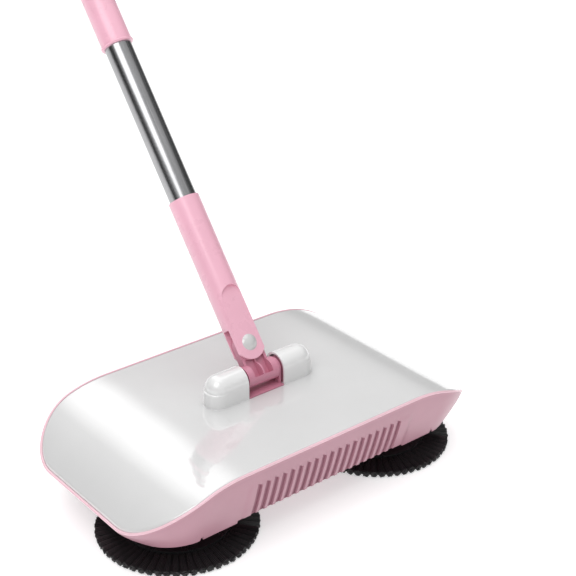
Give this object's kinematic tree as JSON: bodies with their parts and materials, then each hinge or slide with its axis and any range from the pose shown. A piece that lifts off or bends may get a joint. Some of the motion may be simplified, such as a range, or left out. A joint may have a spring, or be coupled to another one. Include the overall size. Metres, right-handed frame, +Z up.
{
  "type": "carpet sweeper",
  "caption": "Push carpet sweeper: low head with glossy cover, two disc brushes, roller and drawer dust bin, on a hinged tube handle.",
  "frame": {"origin": "on the floor under the middle of the whole sweeper, handle included; the head's own middle is 248.7 mm in front of it", "axes": "+Z up, -Y the front of the head, X along the head's length"},
  "size_m": [0.365, 0.705, 0.835],
  "materials": {
    "white_cover": "high gloss, white",
    "pink_plastic": "satin gloss, pale pink",
    "chassis_plastic": "matt, dusky pink",
    "gear_plastic": "matt, natural white acetal",
    "black_plastic": "satin, black",
    "bristle": "nylon bristle, black",
    "rubber": "matt, black",
    "handle_steel": "brushed along and polished",
    "steel": "drawn, semi-bright"
  },
  "bodies": {
    "head": {"top_cover": "white_cover", "lower_housing": "pink_plastic", "chassis_plate": "chassis_plastic", "hinge_base": "pink_plastic", "left_hinge_cap": "white_cover", "right_hinge_cap": "white_cover", "hinge_screws": "steel", "chassis_screws": "steel", "left_axle_bearing": "chassis_plastic", "right_axle_bearing": "chassis_plastic", "left_roller_bearing": "chassis_plastic", "right_roller_bearing": "chassis_plastic", "idler_pin": "steel", "mouth_lip": "rubber", "drive_belt": "rubber", "left_shaft_bearing": "chassis_plastic", "right_shaft_bearing": "chassis_plastic", "left_brush_bush": "chassis_plastic", "right_brush_bush": "chassis_plastic", "left_bin_rail": "chassis_plastic", "right_bin_rail": "chassis_plastic"},
    "drive_wheels": {"drive_axle": "steel", "left_wheel": "gear_plastic", "right_wheel": "gear_plastic", "left_tyre": "rubber", "right_tyre": "rubber", "axle_gear": "gear_plastic"},
    "idler": {"idler_gear": "gear_plastic"},
    "roller": {"roller_shaft": "steel", "roller_core": "gear_plastic", "roller_bristles": "bristle", "roller_gear": "gear_plastic", "roller_pulley": "gear_plastic"},
    "brush_shaft": {"cross_shaft": "steel", "cross_pulley": "gear_plastic", "left_pinion": "gear_plastic", "right_pinion": "gear_plastic"},
    "left_brush": {"left_brush_hub": "black_plastic", "left_brush_bristles": "bristle", "left_spindle": "steel", "left_crown_gear": "gear_plastic"},
    "right_brush": {"right_brush_hub": "black_plastic", "right_brush_bristles": "bristle", "right_spindle": "steel", "right_crown_gear": "gear_plastic"},
    "bin": {"dust_bin": "pink_plastic"},
    "yoke": {"yoke": "pink_plastic"},
    "handle": {"fork_socket": "pink_plastic", "swivel_pin": "steel", "front_pin_cap": "white_cover", "rear_pin_cap": "white_cover", "lower_tube": "handle_steel", "middle_tube": "handle_steel", "upper_tube": "handle_steel", "lower_connector": "pink_plastic", "upper_connector": "pink_plastic", "grip": "pink_plastic", "grip_end_cap": "white_cover"}
  },
  "joints": [
    {"name": "wheel_spin", "type": "hinge", "parent": "head", "child": "drive_wheels", "pos_m": [0, -0.1787, 0.02], "axis": [1, 0, 0], "continuous": true},
    {"name": "idler_spin", "type": "hinge", "parent": "head", "child": "idler", "pos_m": [0.1085, -0.20912, 0.03025], "axis": [1, 0, 0], "continuous": true},
    {"name": "roller_spin", "type": "hinge", "parent": "head", "child": "roller", "pos_m": [0, -0.2287, 0.02], "axis": [1, 0, 0], "continuous": true},
    {"name": "brush_shaft_spin", "type": "hinge", "parent": "head", "child": "brush_shaft", "pos_m": [0, -0.2804, 0.0542], "axis": [1, 0, 0], "continuous": true},
    {"name": "left_brush_spin", "type": "hinge", "parent": "head", "child": "left_brush", "pos_m": [-0.1104, -0.2804, 0.02], "axis": [0, 0, 1], "continuous": true},
    {"name": "right_brush_spin", "type": "hinge", "parent": "head", "child": "right_brush", "pos_m": [0.1104, -0.2804, 0.02], "axis": [0, 0, 1], "continuous": true},
    {"name": "bin_slide", "type": "slide", "parent": "head", "child": "bin", "axis": [0, 1, 0], "range_m": [0, 0.11]},
    {"name": "handle_tilt", "type": "hinge", "parent": "head", "child": "yoke", "pos_m": [0, -0.2492, 0.0936], "axis": [-1, 0, 0], "range_deg": [-44, 38]},
    {"name": "handle_swivel", "type": "hinge", "parent": "yoke", "child": "handle", "pos_m": [0, -0.23221, 0.11458], "axis": [0, -0.7771, 0.6293], "range_deg": [-60, 60]}
  ],
  "couplings": [
    {"joint": "idler_spin", "follows": "wheel_spin", "ratio": -1},
    {"joint": "roller_spin", "follows": "wheel_spin", "ratio": 2.6667},
    {"joint": "brush_shaft_spin", "follows": "wheel_spin", "ratio": 2.6667},
    {"joint": "left_brush_spin", "follows": "wheel_spin", "ratio": 0.88889},
    {"joint": "right_brush_spin", "follows": "wheel_spin", "ratio": -0.88889}
  ]
}
